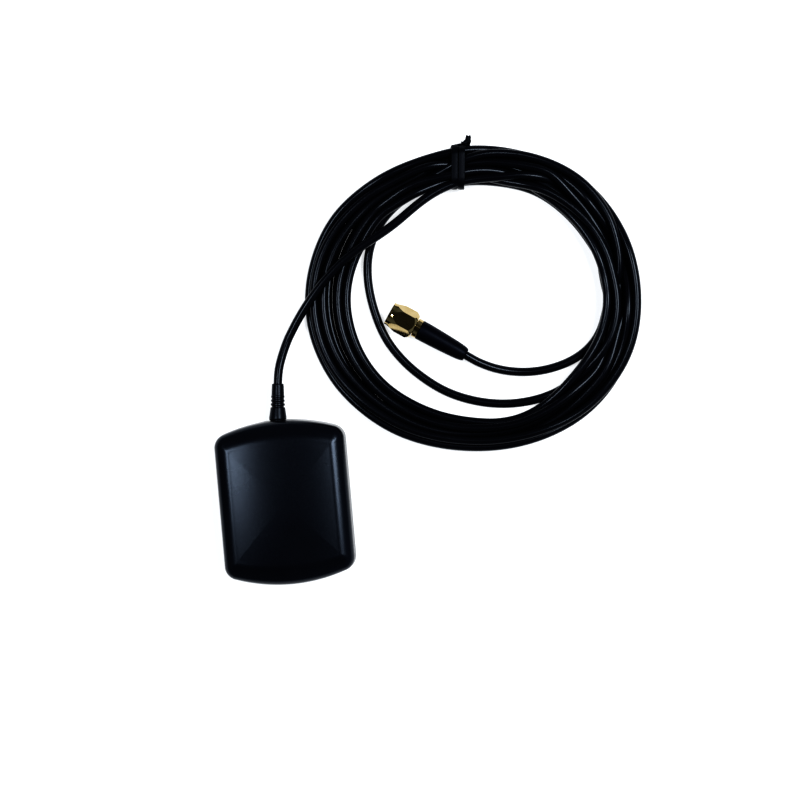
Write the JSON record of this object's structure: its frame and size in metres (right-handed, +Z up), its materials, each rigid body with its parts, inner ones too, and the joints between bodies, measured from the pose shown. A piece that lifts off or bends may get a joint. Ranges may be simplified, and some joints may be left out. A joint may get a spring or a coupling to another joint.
{
  "type": "gnss antenna puck",
  "caption": "Rounded rectangular magnetic antenna housing with a thin coaxial lead wound in a tied oval coil and ending in a hexagonal screw-on plug.",
  "frame": {"origin": "centre of the housing on the surface it stands on, measured without the lead", "axes": "+Y towards the end where the lead leaves the housing, +Z up through the crown"},
  "size_m": [0.1411, 0.1389, 0.015],
  "materials": {
    "anti_slip_pad": "matte",
    "base_cover": "matte",
    "magnets": "nickel plated",
    "housing_screws": "zinc plated",
    "housing_seal": "matte",
    "radome_cover": "fine matte grain",
    "board_screws": "zinc plated",
    "circuit_board": "solder mask",
    "patch_tape": "adhesive tape",
    "ground_electrode": "fired silver",
    "patch_ceramic": "unglazed",
    "patch_electrode": "fired silver",
    "feed_pin": "tinned",
    "feed_solder": "solder",
    "shield_can": "tinned",
    "amplifier_chip": "moulded",
    "filter_block": "satin",
    "regulator": "moulded",
    "chip_passives": "satin",
    "ground_clamp": "tinned",
    "coax_braid": "tinned braid",
    "coax_dielectric": "satin",
    "coax_conductor": "tinned copper",
    "cable_solder": "solder",
    "cable_entry": "smooth PVC",
    "strain_relief": "moulded, satin",
    "cable_tail": "smooth PVC",
    "cable_coil": "smooth PVC",
    "cable_inner_loop": "smooth PVC",
    "cable_plug_lead": "smooth PVC",
    "coil_tie": "soft plastic ribbon",
    "tie_wire": "drawn wire",
    "plug_jacket_end": "smooth PVC",
    "plug_boot": "moulded, satin",
    "crimp_ferrule": "gold plated",
    "plug_braid": "tinned braid",
    "plug_dielectric": "satin",
    "plug_conductor": "tinned copper",
    "connector_body": "gold plated",
    "insulator": "satin",
    "centre_contact": "gold plated",
    "sealing_ring": "silicone",
    "retaining_ring": "gold plated",
    "coupling_nut": "gold plated"
  },
  "bodies": {
    "antenna": {"anti_slip_pad": "anti_slip_pad", "base_cover": "base_cover", "magnets": "magnets", "housing_screws": "housing_screws", "housing_seal": "housing_seal", "radome_cover": "radome_cover", "board_screws": "board_screws", "circuit_board": "circuit_board", "patch_tape": "patch_tape", "ground_electrode": "ground_electrode", "patch_ceramic": "patch_ceramic", "patch_electrode": "patch_electrode", "feed_pin": "feed_pin", "feed_solder": "feed_solder", "shield_can": "shield_can", "amplifier_chip": "amplifier_chip", "filter_block": "filter_block", "regulator": "regulator", "chip_passives": "chip_passives", "ground_clamp": "ground_clamp", "coax_braid": "coax_braid", "coax_dielectric": "coax_dielectric", "coax_conductor": "coax_conductor", "cable_solder": "cable_solder", "cable_entry": "cable_entry", "strain_relief": "strain_relief", "cable_tail": "cable_tail", "cable_coil": "cable_coil", "cable_inner_loop": "cable_inner_loop", "cable_plug_lead": "cable_plug_lead", "coil_tie": "coil_tie", "tie_wire": "tie_wire", "plug_jacket_end": "plug_jacket_end", "plug_boot": "plug_boot", "crimp_ferrule": "crimp_ferrule", "plug_braid": "plug_braid", "plug_dielectric": "plug_dielectric", "plug_conductor": "plug_conductor", "connector_body": "connector_body", "insulator": "insulator", "centre_contact": "centre_contact", "sealing_ring": "sealing_ring"},
    "ring": {"retaining_ring": "retaining_ring"},
    "nut": {"coupling_nut": "coupling_nut"}
  },
  "joints": [
    {"name": "nut_float", "type": "slide", "parent": "antenna", "child": "ring", "axis": [-0.829, 0.5592, 0], "range_m": [0, 0.00025]},
    {"name": "nut_spin", "type": "hinge", "parent": "ring", "child": "nut", "pos_m": [0.0387, 0.0575, 0.004], "axis": [-0.829, 0.5592, 0], "continuous": true}
  ]
}
